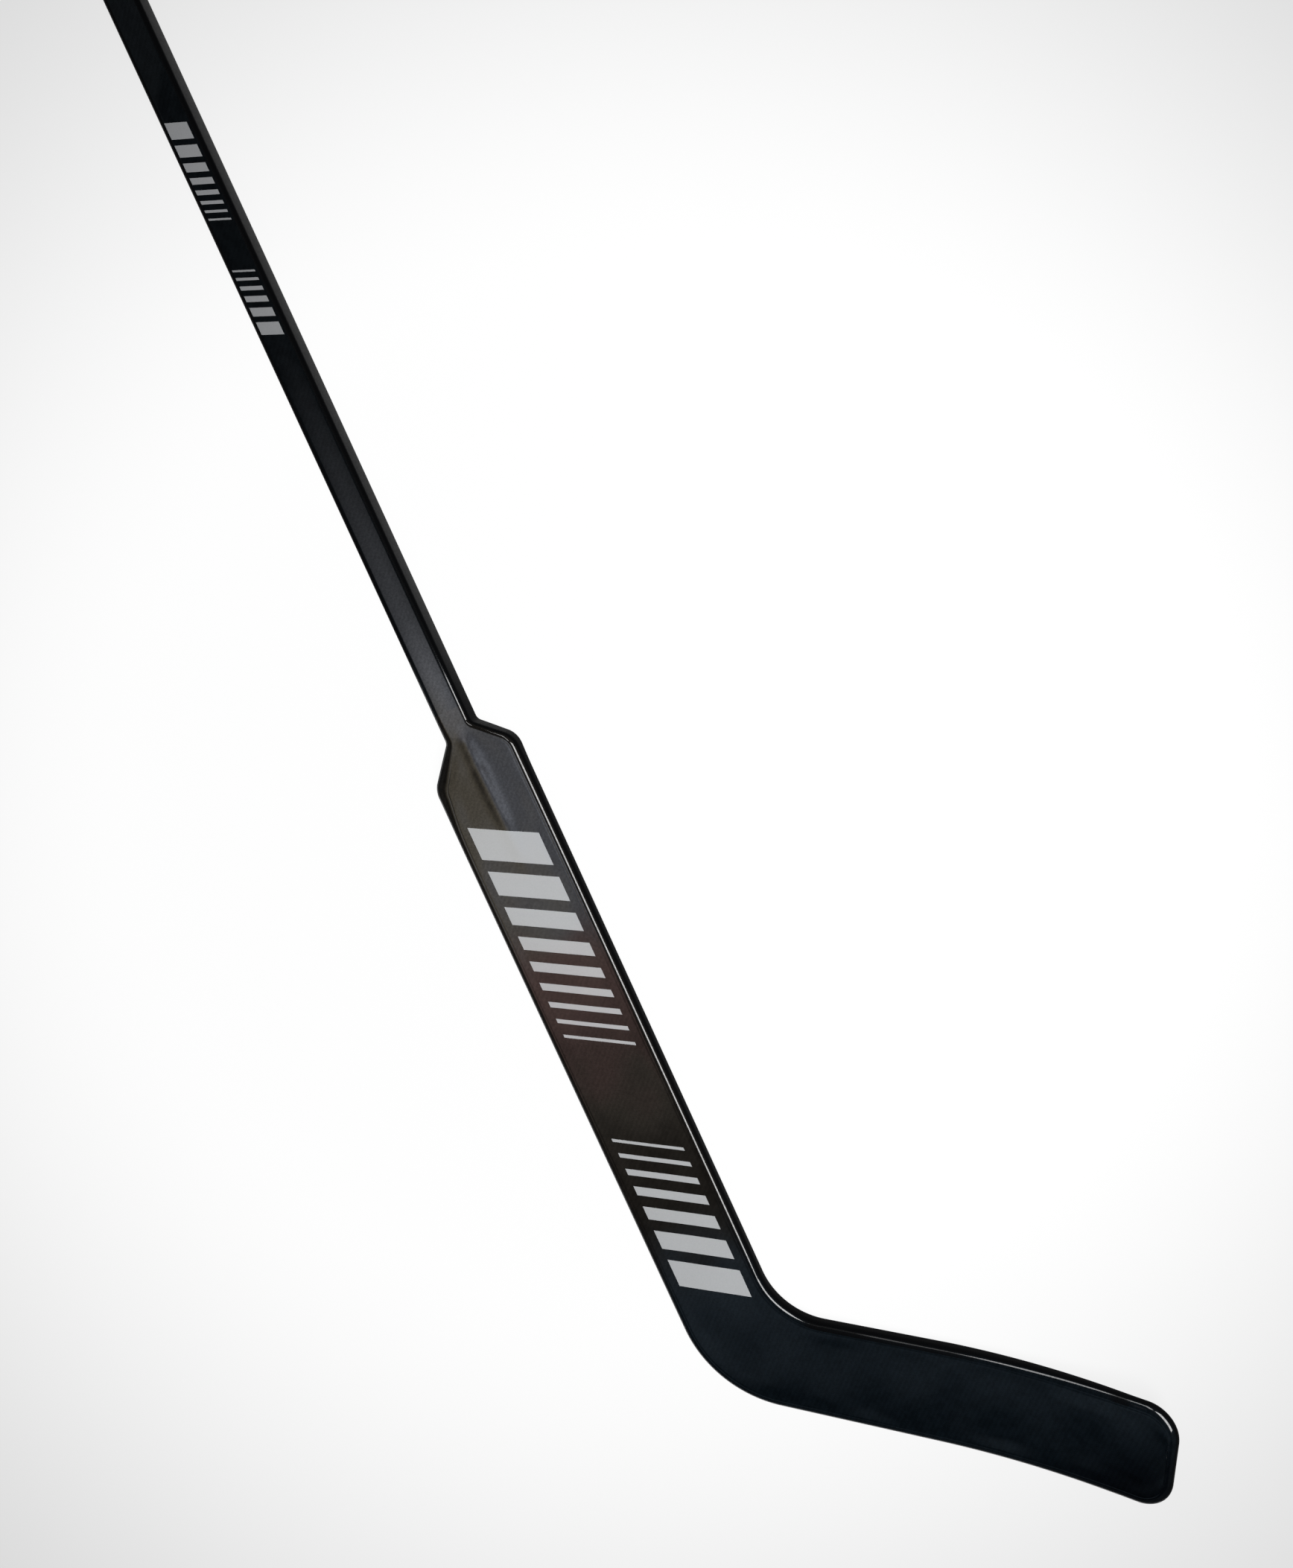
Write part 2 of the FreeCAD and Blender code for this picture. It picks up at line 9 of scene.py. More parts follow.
import bpy
import numpy as np
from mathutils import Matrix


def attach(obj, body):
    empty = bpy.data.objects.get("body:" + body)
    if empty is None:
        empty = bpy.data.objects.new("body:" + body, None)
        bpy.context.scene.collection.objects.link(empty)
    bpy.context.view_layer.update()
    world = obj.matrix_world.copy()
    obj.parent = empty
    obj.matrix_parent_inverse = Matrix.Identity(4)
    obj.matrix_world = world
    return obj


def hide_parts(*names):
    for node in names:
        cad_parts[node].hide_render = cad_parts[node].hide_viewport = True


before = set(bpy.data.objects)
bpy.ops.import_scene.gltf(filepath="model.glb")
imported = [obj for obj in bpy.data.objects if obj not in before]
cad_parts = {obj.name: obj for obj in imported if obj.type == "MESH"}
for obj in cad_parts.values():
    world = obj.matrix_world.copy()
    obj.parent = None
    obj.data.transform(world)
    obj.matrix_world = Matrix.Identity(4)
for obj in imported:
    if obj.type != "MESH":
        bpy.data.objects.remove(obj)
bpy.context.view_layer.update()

MM = 0.001
MID_Z = 10.0                     # middle of the thickness of shaft, paddle and straight blade

# Shaft
SHAFT_HALF_WIDTH = 15.25
SHAFT_HALF_THICKNESS = 10.0
SHAFT_REACH = (4.8, 7.0)         # its corners are quarter ellipses, this wide on the inner and outer side
SHAFT_DROP = (4.4, 6.0)          # and this deep
NECK_Y = -40.0                   # where the tube ends on the neck of the paddle
RIM_Y = 789.7                    # rim of the tube at the butt end
RIM_BEVEL = 0.5
PLUG_TOP_Y = 795.0
PLUG_ROUND = 3.0
PLUG_INSET = 0.2                 # the plug's head is this much smaller than the tube, all round
GROOVE_INSET = 0.8               # and the groove below it this much
GROOVE_RISE = (-2.0, 0.1, 0.5)   # start of the groove, its top, and the lip of the head, above the tube's rim
SIDE_GLOSS = 0.26                # of the shaft's upright sides, in the upper part
SIDE_GLOSS_Y = (-50.0, 60.0)     # over which it grows; where the sides have no gloss they are painted black, as painted shade
SIDE_GLOSS_ENDS = (0.1, 0.35)    # where it ends on the corners, by the upward part of the normal
SHADED_CORNER_Y = (-25.0, 25.0)    # over which the painted shade of the corners, black and matt, grows up to the face
SHADED_CORNER_RISE = (0.35, 0.135)     # by which it raises SHADED_BELOW and GLOSSY_ABOVE

# Paddle
PADDLE_HALF_WIDTH = 44.7
PLATE_HALF_THICKNESS = 7.25
INNER_SHOULDER_Y = (-55.5, -80.5)    # upper and lower sharp corner
OUTER_SHOULDER_Y = (-64.5, -97.5)
HOLLOW_ROUND = 7.0               # concave corner between shaft and shoulder
SHOULDER_ROUND = 20.0
SWELL_TOP_Y = -48.0              # the faces start to sink from the shaft's thickness to the paddle's
SWELL_FOOT_Y = -112.0            # they have sunk at the edges
RIDGE_FOOT_Y = -205.0            # they have sunk in the middle
RIDGE_HALF_WIDTH = 40.0          # the ridge falls away to the edges like a low roof
RIDGE_ROUND = 0.12               # rounding of its top, as a share of that
CREST_HEIGHT = 0.80              # a soft crest along the ridge, where the laminate is drawn over the tongue
CREST_HALF_WIDTH = 6.2
CREST_X = 4.2                    # its place at the neck
CREST_LEAN = -0.01               # it moves aside by this share of its way
CREST_Y = (-205.0, -115.0, -80.0, -52.0)     # it fades out below the first two and above the last two
CREST_TWIST = 0.18               # share by which its height goes up and down along it
CREST_TWIST_RUNS = (3.3, 7.9)    # lengths of the two sines that make this, each over two pi

# The rim rounds off as a quarter ellipse: how wide and how deep, at the neck, paddle, blade and toe
OUTER_REACH = (7.0, 6.0, 6.0, 6.5)
OUTER_DROP = (6.0, 5.2, 5.2, 4.6)
INNER_REACH = (4.8, 6.3, 6.5, 7.5)
INNER_DROP = (4.4, 5.4, 5.6, 5.0)
SHOULDER_REACH = 5.5             # it is this much wider at the outer shoulder
SHOULDER_SPREAD = 30.0
BLADE_RIM = (20.0, 110.0)        # where the paddle's rim turns into the blade's
SHADED_BELOW, GLOSSY_ABOVE = 0.62, 0.85    # upright parts are painted black and matt, as painted shade; by the upward part of the normal

# Painted shade: the blade's top edge is made black and matt in places, where its highlight should be dark; its
# gloss at these distances along the blade
SHADED_TOP_RUN = (72.0, 82.0, 122.0, 136.0, 204.0, 228.0, 330.0, 336.0, 345.0, 350.0)
SHADED_TOP_GLOSS = (1.0, 0.03, 0.03, 0.22, 0.22, 1.0, 1.0, 0.2, 0.2, 1.0)

# Blade, measured along the sole from the heel's sharp corner and square to the sole
HEEL = np.array([-44.7, -682.0])
FALL = math.radians(27.5)
ALONG = np.array([math.cos(FALL), -math.sin(FALL)])
ABOVE = np.array([math.sin(FALL), math.cos(FALL)])
TOE_RUN = 388.55                 # to the toe, along the bent middle of the blade
TOE_HEIGHT = 91.0
THROAT_Y = -628.5                # sharp corner of the throat
HEEL_ROUND = 102.0
THROAT_ROUND = 62.0
TOP_ROUND = 300.0                # where the top edge stops rising from the sole
TOE_TOP_ROUND = 28.0
TOE_SOLE_ROUND = 25.0
CURVE_START = 200.0              # the blade is straight from the heel to here
CURVE_RADIUS = 578.3
TOE_TURN = math.radians(13.5)    # then it curves forward until it has turned by this
TOE_THINNING = 2.0               # each face comes nearer to the middle by this
THINNING_RUN = 150.0             # over this length of the curve

# Long waves that a moulded and rubbed face keeps: height, length, direction and phase
WAVES = ((0.09, 62.0, 0.4, 0.0), (0.11, 84.0, 1.3, 1.1), (0.08, 51.0, 2.2, 2.3), (0.15, 131.0, 2.8, 0.7))
WAVE_MARGIN = 15.0               # they grow to their full height over this distance from the edge

# Seam between a face and the edge wrap
SEAM_INSET = 0.9                 # from the line where the edge starts to round off
SEAM_HALF_WIDTH = 0.6
SEAM_DEPTH = 0.06

# Fineness of the grids
OUTER_COUNTS = (10, 14, 12, 24, 130, 60, 70, 36)     # points on each straight and arc of a rail
INNER_COUNTS = (10, 14, 12, 24, 130, 60, 26, 3, 41, 36)
SEAM_COLUMNS = 5                 # over each seam
FACE_COLUMNS = 60                # from seam to seam
RIM_STEPS = 15                   # round each quarter ellipse of the rim
CORNER_STEPS = 10                # round each corner of the shaft
SHAFT_STATIONS = 60
PLUG_STEPS = 10
SHARP_TURN = math.radians(50)    # edges that turn by more than this stay sharp


def smooth(low, high, value):
    """Rises from 0 at low to 1 at high with level ends."""
    t = np.clip((value - low) / (high - low), 0, 1)
    return t * t * (3 - 2 * t)


def face_height(x, y):
    """Distance of either face from the middle plane, before the blade is bent.

    It is half the plate, less towards the toe, where it falls with the square of the run along the curve.
    Near the shoulders it swells to the shaft's: along the edges over a short length, and in the middle
    over a longer one, as a ridge like a low roof with a rounded top.
    """
    run = (x - HEEL[0]) * ALONG[0] + (y - HEEL[1]) * ALONG[1]
    thinned = np.clip((run - CURVE_START) / THINNING_RUN, 0, 1) ** 2
    at_edges = smooth(SWELL_FOOT_Y, SWELL_TOP_Y, y)
    at_middle = smooth(RIDGE_FOOT_Y, SWELL_TOP_Y, y)
    slope = np.sqrt((x / RIDGE_HALF_WIDTH) ** 2 + RIDGE_ROUND ** 2) - RIDGE_ROUND
    ridge = np.clip(1 - slope, 0, 1)
    swell = (SHAFT_HALF_THICKNESS - PLATE_HALF_THICKNESS) * (at_edges + (at_middle - at_edges) * ridge)
    return PLATE_HALF_THICKNESS - TOE_THINNING * thinned + swell


def crest(x, y):
    """Height of the crest: a bell curve across the ridge, uneven along it like a slow twist."""
    from_crest = (x - CREST_X - CREST_LEAN * (y - SWELL_TOP_Y)) / CREST_HALF_WIDTH
    quick, slow = CREST_TWIST_RUNS
    twist = 1 + CREST_TWIST * np.sin(y / quick) * np.sin(y / slow + 1)
    lasting = smooth(*CREST_Y[:2], y) * (1 - smooth(*CREST_Y[2:], y))
    return CREST_HEIGHT * np.exp(-from_crest ** 2) * twist * lasting


def waves(x, y):
    """Height of the long waves: a sum of sines, which fades out on the neck."""
    total = sum(height * np.sin(2 * math.pi / length * (x * math.cos(way) + y * math.sin(way)) + phase)
                for height, length, way, phase in WAVES)
    return total * (1 - smooth(SWELL_FOOT_Y, SWELL_TOP_Y, y))


def bend(points):
    """Points of the flat paddle and blade, bent to the blade's curve.

    Past CURVE_START the middle plane follows a circle until it has turned by TOE_TURN, and then goes on
    straight. Every point keeps its distance from that plane.
    """
    x, y, z = np.moveaxis(points, -1, 0)
    past = np.clip((x - HEEL[0]) * ALONG[0] + (y - HEEL[1]) * ALONG[1] - CURVE_START, 0, None)
    turned = np.minimum(past / CURVE_RADIUS, TOE_TURN)
    beyond = past - turned * CURVE_RADIUS
    above = z - MID_Z
    gained = CURVE_RADIUS * np.sin(turned) + beyond * np.cos(turned) - above * np.sin(turned) - past
    risen = CURVE_RADIUS * (1 - np.cos(turned)) + beyond * np.sin(turned) + above * np.cos(turned)
    return np.stack([x + gained * ALONG[0], y + gained * ALONG[1], MID_Z + risen], axis=-1)


def rim_size(rail_points, sizes):
    """Reach or drop of the rim along a rail, which goes softly from the neck's to the toe's."""
    neck, paddle, blade, toe = sizes
    run = (rail_points - HEEL) @ ALONG
    size = paddle + (neck - paddle) * smooth(SWELL_FOOT_Y, SWELL_TOP_Y, rail_points[:, 1])
    size += (blade - paddle) * smooth(*BLADE_RIM, run)
    return size + (toe - blade) * smooth(CURVE_START, TOE_RUN - TOE_TOP_ROUND, run)


def rail(corners, counts, side):
    """Points and outward normals along a path with rounded corners.

    corners are x, y and radius of the sharp corners, the first and last being the ends. The path is a
    straight, then an arc, and so on, and stops at the end of the last arc; counts gives the points on
    each of these. side is 1 if the outside is on the right of the path, else -1.
    """
    points, normals = [], []
    xy = np.array([corner[:2] for corner in corners], float)
    ways = np.diff(xy, axis=0)
    ways /= np.linalg.norm(ways, axis=1)[:, None]
    begin = xy[0]
    for i in range(1, len(corners) - 1):
        before, after, radius = ways[i - 1], ways[i], corners[i][2]
        turn = math.atan2(before[0] * after[1] - before[1] * after[0], before @ after)
        end = xy[i] - before * radius * math.tan(abs(turn) / 2)
        share = np.linspace(0, 1, counts[2 * i - 2], endpoint=False)[:, None]
        points.append(begin + share * (end - begin))
        normals.append(np.tile([before[1] * side, -before[0] * side], (len(share), 1)))
        last = i == len(corners) - 2
        angle = np.linspace(0, turn, counts[2 * i - 1], endpoint=last)
        way = np.stack([before[0] * np.cos(angle) - before[1] * np.sin(angle),
                        before[0] * np.sin(angle) + before[1] * np.cos(angle)], axis=1)
        left = np.stack([-way[:, 1], way[:, 0]], axis=1)
        hand = math.copysign(1, turn)
        centre = end + np.array([-before[1], before[0]]) * radius * hand
        points.append(centre - left * radius * hand)
        normals.append(-left * side)
        begin = xy[i] + after * radius * math.tan(abs(turn) / 2)
    return np.concatenate(points), np.concatenate(normals)


def make_piece(name, vertices, faces, material, **attributes):
    """Mesh object from vertices in millimetres, smooth but for its sharp edges, with values per vertex."""
    mesh = bpy.data.meshes.new(name)
    mesh.from_pydata(np.asarray(vertices) * MM, [], faces)
    mesh.polygons.foreach_set("use_smooth", np.ones(len(mesh.polygons), bool))
    mesh.set_sharp_from_angle(angle=SHARP_TURN)
    for label, values in attributes.items():
        mesh.attributes.new(label, "FLOAT", "POINT").data.foreach_set("value", np.asarray(values, np.float32))
    mesh.materials.append(material)
    piece = bpy.data.objects.new(name, mesh)
    bpy.context.scene.collection.objects.link(piece)
    return piece


def quads(grid, flip=False):
    """Faces over a grid of vertex numbers."""
    corners = np.stack([grid[:-1, :-1], grid[1:, :-1], grid[1:, 1:], grid[:-1, 1:]], axis=-1).reshape(-1, 4)
    return (corners[:, ::-1] if flip else corners).tolist()


def blade_point(along, above):
    """Point so far along the sole from the heel's sharp corner, and so far above the sole."""
    return tuple(HEEL + ALONG * along + ABOVE * above)


def paddle_shell():
    """Closed skin of neck, paddle and blade, with gloss and painted shade, and front, per vertex.

    Two rails follow the outline, one down the outer side to the toe and one down the inner side. A face
    is a grid between them. The rim is a profile, a quarter ellipse at each face with a flat between,
    carried along the outer rail, across the toe, where its size goes over from one rail's to the other's,
    and back up the inner rail. It is all worked out flat, and then bent. Gloss is 1 on the faces and fades
    to 0 round the rim as it turns upright, and is taken away in places along the blade's top; where it is
    low, the rim is painted black and matt, as painted shade.
    """
    outer, outer_out = rail([
        (-SHAFT_HALF_WIDTH, NECK_Y),
        (-SHAFT_HALF_WIDTH, OUTER_SHOULDER_Y[0], HOLLOW_ROUND),
        (-PADDLE_HALF_WIDTH, OUTER_SHOULDER_Y[1], SHOULDER_ROUND),
        (*HEEL, HEEL_ROUND),
        (*blade_point(TOE_RUN, 0), TOE_SOLE_ROUND),
        blade_point(TOE_RUN, TOE_HEIGHT),
    ], OUTER_COUNTS, side=1)
    inner, inner_out = rail([
        (SHAFT_HALF_WIDTH, NECK_Y),
        (SHAFT_HALF_WIDTH, INNER_SHOULDER_Y[0], HOLLOW_ROUND),
        (PADDLE_HALF_WIDTH, INNER_SHOULDER_Y[1], SHOULDER_ROUND),
        (PADDLE_HALF_WIDTH, THROAT_Y, THROAT_ROUND),
        (*blade_point(CURVE_START, TOE_HEIGHT), TOP_ROUND),
        (*blade_point(TOE_RUN, TOE_HEIGHT), TOE_TOP_ROUND),
        blade_point(TOE_RUN, 0),
    ], INNER_COUNTS, side=-1)

    outer_wide, outer_deep = rim_size(outer, OUTER_REACH), rim_size(outer, OUTER_DROP)
    inner_wide, inner_deep = rim_size(inner, INNER_REACH), rim_size(inner, INNER_DROP)
    outer_wide += SHOULDER_REACH * np.exp(-((outer[:, 1] - OUTER_SHOULDER_Y[1]) / SHOULDER_SPREAD) ** 2)
    outer_line = outer - outer_out * outer_wide[:, None]
    inner_line = inner - inner_out * inner_wide[:, None]

    # Columns of the face: close together over the seams, even between them
    near = np.concatenate([[0], SEAM_INSET + SEAM_HALF_WIDTH * np.linspace(-1, 1, SEAM_COLUMNS)])
    width = np.linalg.norm(inner_line - outer_line, axis=1)[:, None]
    left = near / width
    right = 1 - left[:, ::-1]
    middle = left[:, -1:] + (right[:, :1] - left[:, -1:]) * np.linspace(0, 1, FACE_COLUMNS)[1:-1]
    share = np.concatenate([left, middle, right], axis=1)
    plan = outer_line[:, None] + share[..., None] * (inner_line - outer_line)[:, None]
    from_edge = np.minimum(share, 1 - share) * width
    dip = SEAM_DEPTH * (1 - smooth(0, SEAM_HALF_WIDTH, np.abs(from_edge - SEAM_INSET)))
    dip *= 1 - smooth(SWELL_FOOT_Y, SWELL_TOP_Y, outer[:, 1])[:, None]
    x, y = plan[..., 0], plan[..., 1]
    height = face_height(x, y) + waves(x, y) * smooth(0, WAVE_MARGIN, from_edge) - dip

    rows, columns = share.shape
    front_grid = np.arange(rows * columns).reshape(rows, columns)
    back_grid = front_grid + rows * columns
    front_points = np.dstack([plan, MID_Z + height + crest(x, y)])
    back_points = np.dstack([plan, MID_Z - height])

    # Rim
    path = np.concatenate([outer_line, plan[-1, 1:-1], inner_line[::-1]])
    out = np.concatenate([outer_out, np.tile(ALONG, (columns - 2, 1)), inner_out[::-1]])
    at_toe = share[-1, 1:-1]
    wide, deep = [np.concatenate([size, size[-1] + at_toe * (other[-1] - size[-1]), other[::-1]])[:, None]
                  for size, other in ((outer_wide, inner_wide), (outer_deep, inner_deep))]
    angle = np.linspace(0, math.pi / 2, RIM_STEPS)
    rim_plan = path[:, None] + out[:, None] * (np.sin(angle) * wide)[..., None]
    rim_height = face_height(rim_plan[..., 0], rim_plan[..., 1]) - (1 - np.cos(angle)) * deep
    upper = np.dstack([rim_plan, MID_Z + rim_height])
    lower = np.dstack([rim_plan, MID_Z - rim_height])[:, ::-1]
    rim_points = np.concatenate([upper[:, 1:], lower[:, :-1]], axis=1)
    upward = np.cos(angle) / np.hypot(np.cos(angle), np.sin(angle) * deep / wide)
    # Gloss fades as the rim turns upright; where it is low the rim is painted black, as painted shade
    rim_gloss_and_shade = smooth(SHADED_BELOW, GLOSSY_ABOVE, upward)
    on_top = len(path) - np.arange(len(path)) <= len(inner)
    # Painted shade: the blade's top rim loses its gloss in places, and goes black and matt there
    rim_gloss_and_shade[on_top] *= np.interp((path[on_top] - HEEL) @ ALONG, SHADED_TOP_RUN, SHADED_TOP_GLOSS)[:, None]
    rim_gloss_and_shade = np.concatenate([rim_gloss_and_shade[:, 1:], rim_gloss_and_shade[:, :0:-1]], axis=1)
    rim_grid = np.arange(rim_gloss_and_shade.size).reshape(rim_gloss_and_shade.shape) + 2 * rows * columns

    def border(grid):
        """Vertices of a face along the rim's path."""
        return np.concatenate([grid[:, 0], grid[-1, 1:-1], grid[::-1, -1]])[:, None]

    rim_grid = np.concatenate([border(front_grid), rim_grid, border(back_grid)], axis=1)
    cap = np.concatenate([front_grid[0], rim_grid[-1, 1:-1], back_grid[0, ::-1], rim_grid[0, -2:0:-1]])
    flat = np.concatenate([part.reshape(-1, 3) for part in (front_points, back_points, rim_points)])
    faces = quads(front_grid) + quads(back_grid, flip=True) + quads(rim_grid, flip=True) + [cap.tolist()]
    gloss_and_shade = np.concatenate([np.ones(2 * rows * columns), rim_gloss_and_shade.ravel()])
    front = flat[:, 2] > MID_Z
    return {"vertices": bend(flat), "faces": faces, "gloss_and_shade": gloss_and_shade, "front": front}


def corner_sizes(sizes):
    """Sizes of the inner and outer corners, once for each point round the section."""
    inner, outer = sizes
    return np.repeat([inner, outer, outer, inner], CORNER_STEPS)


def rounded_section(inset):
    """Loop of the shaft's section, drawn in from its outside: four quarter ellipses joined by straights."""
    reach, drop = corner_sizes(SHAFT_REACH), corner_sizes(SHAFT_DROP)
    turn = np.linspace(0, math.pi / 2, CORNER_STEPS)
    angle = np.concatenate([turn + quarter * math.pi / 2 for quarter in range(4)])
    sign_x = np.repeat([1, -1, -1, 1], CORNER_STEPS)
    sign_z = np.repeat([1, 1, -1, -1], CORNER_STEPS)
    x = sign_x * (SHAFT_HALF_WIDTH - reach) + (reach - inset) * np.cos(angle)
    z = sign_z * (SHAFT_HALF_THICKNESS - drop) + (drop - inset) * np.sin(angle) + MID_Z
    return np.stack([x, z], axis=1)


def section_upward():
    """Upward part of the normal round the shaft's section, without its sign.

    A corner's normal at an angle is its sine over the drop and its cosine over the reach, made one long.
    """
    angle = np.tile(np.linspace(0, math.pi / 2, CORNER_STEPS), 4)
    swung = np.repeat([0, 1, 0, 1], CORNER_STEPS)
    angle = np.where(swung, math.pi / 2 - angle, angle)
    upward = np.sin(angle) / corner_sizes(SHAFT_DROP)
    return upward / np.hypot(upward, np.cos(angle) / corner_sizes(SHAFT_REACH))


def shaft_sweep(stations):
    """Closed skin through sections of the shaft, each given by its height y and how far it is drawn in."""
    loops = [np.insert(rounded_section(inset), 1, y, axis=1) for y, inset in stations]
    count = len(loops[0])
    grid = np.arange(len(loops) * count).reshape(len(loops), count)
    faces = quads(np.concatenate([grid, grid[:, :1]], axis=1))
    faces += [grid[0, :].tolist(), grid[-1, ::-1].tolist()]
    return {"vertices": np.concatenate(loops), "faces": faces}


def shaft_tube():
    """Tube from the neck to the butt end, with a small bevel at its rim.

    Its faces are glossy, and its corners are painted black and matt, as painted shade. Upwards from the
    neck this painted shade of the corners grows up to the flat of the face, and the upright sides grow
    glossier.
    """
    stations = [(y, 0) for y in np.linspace(NECK_Y, RIM_Y - RIM_BEVEL, SHAFT_STATIONS)] + [(RIM_Y, RIM_BEVEL)]
    tube = shaft_sweep(stations)
    upward = section_upward()
    y = np.array(stations)[:, :1]
    corner_shade = smooth(*SHADED_CORNER_Y, y)
    low, high = SHADED_BELOW + SHADED_CORNER_RISE[0] * corner_shade, GLOSSY_ABOVE + SHADED_CORNER_RISE[1] * corner_shade
    on_faces = smooth(low, high, upward)
    on_sides = SIDE_GLOSS * smooth(*SIDE_GLOSS_Y, y) * (1 - smooth(*SIDE_GLOSS_ENDS, upward))
    # Where the gloss is low, corners and sides are painted black, as painted shade
    tube["gloss_and_shade"] = np.maximum(on_faces, on_sides).ravel()
    tube["front"] = tube["vertices"][:, 2] > MID_Z
    return tube


def end_plug():
    """Head of the plug: a groove, a lip a little smaller than the tube, then a quarter circle to the flat end."""
    dome = [(PLUG_TOP_Y - PLUG_ROUND * (1 - math.sin(angle)), PLUG_INSET + PLUG_ROUND * (1 - math.cos(angle)))
            for angle in np.linspace(0, math.pi / 2, PLUG_STEPS)]
    insets = (GROOVE_INSET, GROOVE_INSET, PLUG_INSET)
    return shaft_sweep([(RIM_Y + rise, inset) for rise, inset in zip(GROOVE_RISE, insets)] + dome)


# Materials

def put(tree, kind, values=None, **settings):
    """New node: its settings, then its inputs, where a socket is linked and any other value is set."""
    node = tree.nodes.new(kind)
    for name, setting in settings.items():
        setattr(node, name, setting)
    for key, value in (values or {}).items():
        if isinstance(value, bpy.types.NodeSocket):
            tree.links.new(value, node.inputs[key])
        else:
            node.inputs[key].default_value = value
    return node


def maths(tree, operation, *values):
    """Result of one sum on values."""
    return put(tree, "ShaderNodeMath", dict(enumerate(values)), operation=operation).outputs[0]


def vector_maths(tree, operation, *vectors):
    """Results of one sum on vectors: a vector or a value, by name."""
    return put(tree, "ShaderNodeVectorMath", dict(enumerate(vectors)), operation=operation).outputs


def blend(tree, factor, first, second):
    """Colour between two colours."""
    return put(tree, "ShaderNodeMix", {0: factor, 6: first, 7: second}, data_type="RGBA").outputs[2]


def times(tree, colour, value):
    """Colour made lighter or darker by a value."""
    return put(tree, "ShaderNodeMix", {0: 1.0, 6: colour, 7: value}, data_type="RGBA",
               blend_type="MULTIPLY").outputs[2]


def ramp(tree, value, low, high, start=0.0, end=1.0):
    """Soft step of a value from low to high."""
    return put(tree, "ShaderNodeMapRange", {"Value": value, "From Min": low, "From Max": high,
                                            "To Min": start, "To Max": end},
               interpolation_type="SMOOTHSTEP").outputs[0]


def noise(tree, vector, scale, detail=2.0, roughness=0.5):
    """Soft random value, with so many waves to the metre."""
    return put(tree, "ShaderNodeTexNoise", {"Vector": vector, "Scale": scale, "Detail": detail,
                                            "Roughness": roughness}).outputs[0]


def uneven(tree, place, pattern, levels, values):
    """Value that goes up and down softly over a place: a noise, two of its levels, and the values at these."""
    return ramp(tree, noise(tree, place, *pattern), *levels, *values)


def emboss(tree, shader, height, strength, depth):
    """Gives a material a fine relief, which is only seen in the light on it."""
    bump = put(tree, "ShaderNodeBump", {"Height": height, "Strength": strength, "Distance": depth})
    tree.links.new(bump.outputs[0], shader.inputs["Normal"])


def darker(colour, share):
    """Colour with a share of its light."""
    return tuple(part * share for part in colour[:3]) + (1,)


def object_place(tree):
    """Place on the piece, in metres."""
    return tree.nodes.new("ShaderNodeTexCoord").outputs["Object"]


FLOAT, VECTOR = "NodeSocketFloat", "NodeSocketVector"


def new_group(name, inputs, outputs):
    """Empty node group with its sockets, and its two end nodes."""
    tree = bpy.data.node_groups.new(name, "ShaderNodeTree")
    for label, kind in inputs:
        tree.interface.new_socket(label, in_out="INPUT", socket_type=kind)
    for label, kind in outputs:
        tree.interface.new_socket(label, in_out="OUTPUT", socket_type=kind)
    return tree, tree.nodes.new("NodeGroupInput").outputs, tree.nodes.new("NodeGroupOutput").inputs


BAR_EDGE = 0.0001                # metres over which a bar fades, each side of its edge


def bar_group():
    """Mask of a printed bar: straight sides along the stick and ends cut on a slant."""
    labels = ("Across", "Along", "Half Width", "Half Length", "Slant")
    tree, given, made = new_group("slanted bar", [("Place", VECTOR)] + [(label, FLOAT) for label in labels],
                                  [("Mask", FLOAT)])
    place = put(tree, "ShaderNodeSeparateXYZ", {0: given["Place"]}).outputs
    across = maths(tree, "SUBTRACT", place[0], given["Across"])
    along = maths(tree, "SUBTRACT", place[1], given["Along"])
    leaned = maths(tree, "MULTIPLY_ADD", across, given["Slant"], along)
    beside = maths(tree, "SUBTRACT", maths(tree, "ABSOLUTE", across), given["Half Width"])
    beyond = maths(tree, "SUBTRACT", maths(tree, "ABSOLUTE", leaned), given["Half Length"])
    outside = maths(tree, "MAXIMUM", beside, beyond)
    tree.links.new(ramp(tree, outside, BAR_EDGE, -BAR_EDGE), made["Mask"])
    return tree


TWILL_OVER, TWILL_UNDER = 2, 2   # tows that a tow passes over, and then under


def weave_group():
    """Twill of fine tows: which way the tow at a place runs, and how high it stands.

    Each tow's pattern is one step on from its neighbour's.
    """
    tree, given, made = new_group("twill", [("Place", VECTOR), ("Tow", FLOAT)],
                                  [("Way", FLOAT), ("Height", FLOAT)])
    place = put(tree, "ShaderNodeSeparateXYZ", {0: given["Place"]}).outputs
    over = maths(tree, "DIVIDE", place[0], given["Tow"])
    up = maths(tree, "DIVIDE", place[1], given["Tow"])
    step = maths(tree, "SUBTRACT", maths(tree, "FLOOR", over), maths(tree, "FLOOR", up))
    way = maths(tree, "LESS_THAN", maths(tree, "FLOORED_MODULO", step, TWILL_OVER + TWILL_UNDER), TWILL_OVER - 0.5)
    crown_over = maths(tree, "PINGPONG", over, 0.5)
    crown_up = maths(tree, "PINGPONG", up, 0.5)
    height = put(tree, "ShaderNodeMix", {0: way, 2: crown_over, 3: crown_up}, data_type="FLOAT").outputs[0]
    tree.links.new(way, made["Way"])
    tree.links.new(height, made["Height"])
    return tree


BAR, WEAVE = bar_group(), weave_group()


def use(tree, group, values):
    """Outputs of a group that is placed in a tree with its own values."""
    return put(tree, "ShaderNodeGroup", values, node_tree=group).outputs


